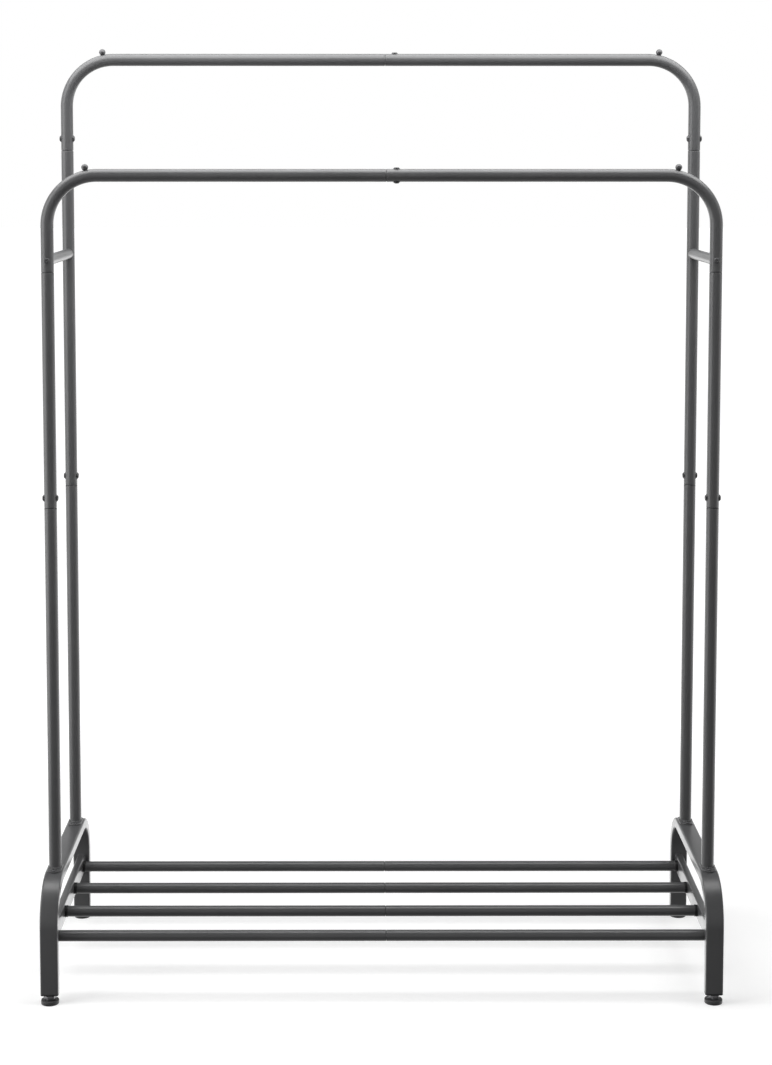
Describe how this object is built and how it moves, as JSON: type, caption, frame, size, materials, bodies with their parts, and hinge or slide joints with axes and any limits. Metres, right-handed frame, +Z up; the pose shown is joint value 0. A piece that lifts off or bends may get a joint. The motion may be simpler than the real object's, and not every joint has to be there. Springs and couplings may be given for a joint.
{
  "type": "clothes rack",
  "caption": "Free-standing double-rail clothes rack of bolted steel tube, with arched side frames, an open bar shelf and screw-in levelling feet.",
  "frame": {"origin": "on the floor, under the middle of the rack", "axes": "+X along the rails to the right as seen from the front, +Y from the low front rail to the high rear rail, +Z up"},
  "size_m": [1.173, 0.4514, 1.6458],
  "materials": {
    "powder_coated_steel": "satin charcoal powder coat with a fine texture",
    "black_fastener": "black zinc, satin",
    "zinc_steel": "bright zinc plate",
    "black_zinc_steel": "black zinc plate on a cut thread",
    "black_plastic": "moulded, fine matte grain"
  },
  "bodies": {
    "rack": {"arch_left": "powder_coated_steel", "side_rail_left": "powder_coated_steel", "lower_post_front_left": "powder_coated_steel", "middle_post_front_left": "powder_coated_steel", "mid_bolt_front_left": "black_fastener", "lower_post_rear_left": "powder_coated_steel", "middle_post_rear_left": "powder_coated_steel", "mid_bolt_rear_left": "black_fastener", "rear_bolt_left": "black_fastener", "arch_right": "powder_coated_steel", "side_rail_right": "powder_coated_steel", "lower_post_front_right": "powder_coated_steel", "middle_post_front_right": "powder_coated_steel", "mid_bolt_front_right": "black_fastener", "lower_post_rear_right": "powder_coated_steel", "middle_post_rear_right": "powder_coated_steel", "mid_bolt_rear_right": "black_fastener", "rear_bolt_right": "black_fastener", "crossbar_left": "powder_coated_steel", "crossbar_insert_front_left": "zinc_steel", "crossbar_bolt_front_left": "black_fastener", "crossbar_insert_rear_left": "zinc_steel", "crossbar_bolt_rear_left": "black_fastener", "crossbar_right": "powder_coated_steel", "crossbar_insert_front_right": "zinc_steel", "crossbar_bolt_front_right": "black_fastener", "crossbar_insert_rear_right": "zinc_steel", "crossbar_bolt_rear_right": "black_fastener", "rail_front_left": "powder_coated_steel", "hanger_stop_front_left": "black_fastener", "rail_front_right": "powder_coated_steel", "hanger_stop_front_right": "black_fastener", "rail_bolt_front": "black_fastener", "rail_rear_left": "powder_coated_steel", "hanger_stop_rear_left": "black_fastener", "rail_rear_right": "powder_coated_steel", "hanger_stop_rear_right": "black_fastener", "rail_bolt_rear": "black_fastener", "shelf_bar_1_left": "powder_coated_steel", "shelf_bar_1_right": "powder_coated_steel", "shelf_bar_2_left": "powder_coated_steel", "shelf_bar_2_right": "powder_coated_steel", "shelf_bar_3_left": "powder_coated_steel", "shelf_bar_3_right": "powder_coated_steel", "shelf_bar_4_left": "powder_coated_steel", "shelf_bar_4_right": "powder_coated_steel", "leg_plug_front_left": "black_plastic", "leg_plug_rear_left": "black_plastic", "leg_plug_front_right": "black_plastic", "leg_plug_rear_right": "black_plastic"},
    "pad_front_left": {"foot_pad_front_left": "black_plastic"},
    "stud_front_left": {"foot_stud_front_left": "black_zinc_steel"},
    "pad_rear_left": {"foot_pad_rear_left": "black_plastic"},
    "stud_rear_left": {"foot_stud_rear_left": "black_zinc_steel"},
    "pad_front_right": {"foot_pad_front_right": "black_plastic"},
    "stud_front_right": {"foot_stud_front_right": "black_zinc_steel"},
    "pad_rear_right": {"foot_pad_rear_right": "black_plastic"},
    "stud_rear_right": {"foot_stud_rear_right": "black_zinc_steel"}
  },
  "joints": [
    {"name": "foot_height_front_left", "type": "slide", "parent": "rack", "child": "pad_front_left", "axis": [0, 0, -1], "range_m": [0, 0.012]},
    {"name": "foot_turn_front_left", "type": "hinge", "parent": "pad_front_left", "child": "stud_front_left", "pos_m": [-0.571, -0.21025, 0], "axis": [0, 0, -1], "range_deg": [0, 3456]},
    {"name": "foot_height_rear_left", "type": "slide", "parent": "rack", "child": "pad_rear_left", "axis": [0, 0, -1], "range_m": [0, 0.012]},
    {"name": "foot_turn_rear_left", "type": "hinge", "parent": "pad_rear_left", "child": "stud_rear_left", "pos_m": [-0.571, 0.21025, 0], "axis": [0, 0, -1], "range_deg": [0, 3456]},
    {"name": "foot_height_front_right", "type": "slide", "parent": "rack", "child": "pad_front_right", "axis": [0, 0, -1], "range_m": [0, 0.012]},
    {"name": "foot_turn_front_right", "type": "hinge", "parent": "pad_front_right", "child": "stud_front_right", "pos_m": [0.571, -0.21025, 0], "axis": [0, 0, -1], "range_deg": [0, 3456]},
    {"name": "foot_height_rear_right", "type": "slide", "parent": "rack", "child": "pad_rear_right", "axis": [0, 0, -1], "range_m": [0, 0.012]},
    {"name": "foot_turn_rear_right", "type": "hinge", "parent": "pad_rear_right", "child": "stud_rear_right", "pos_m": [0.571, 0.21025, 0], "axis": [0, 0, -1], "range_deg": [0, 3456]}
  ],
  "couplings": [
    {"joint": "foot_turn_front_left", "follows": "foot_height_front_left", "rad_per_m": 5026.5},
    {"joint": "foot_turn_rear_left", "follows": "foot_height_rear_left", "rad_per_m": 5026.5},
    {"joint": "foot_turn_front_right", "follows": "foot_height_front_right", "rad_per_m": 5026.5},
    {"joint": "foot_turn_rear_right", "follows": "foot_height_rear_right", "rad_per_m": 5026.5}
  ]
}
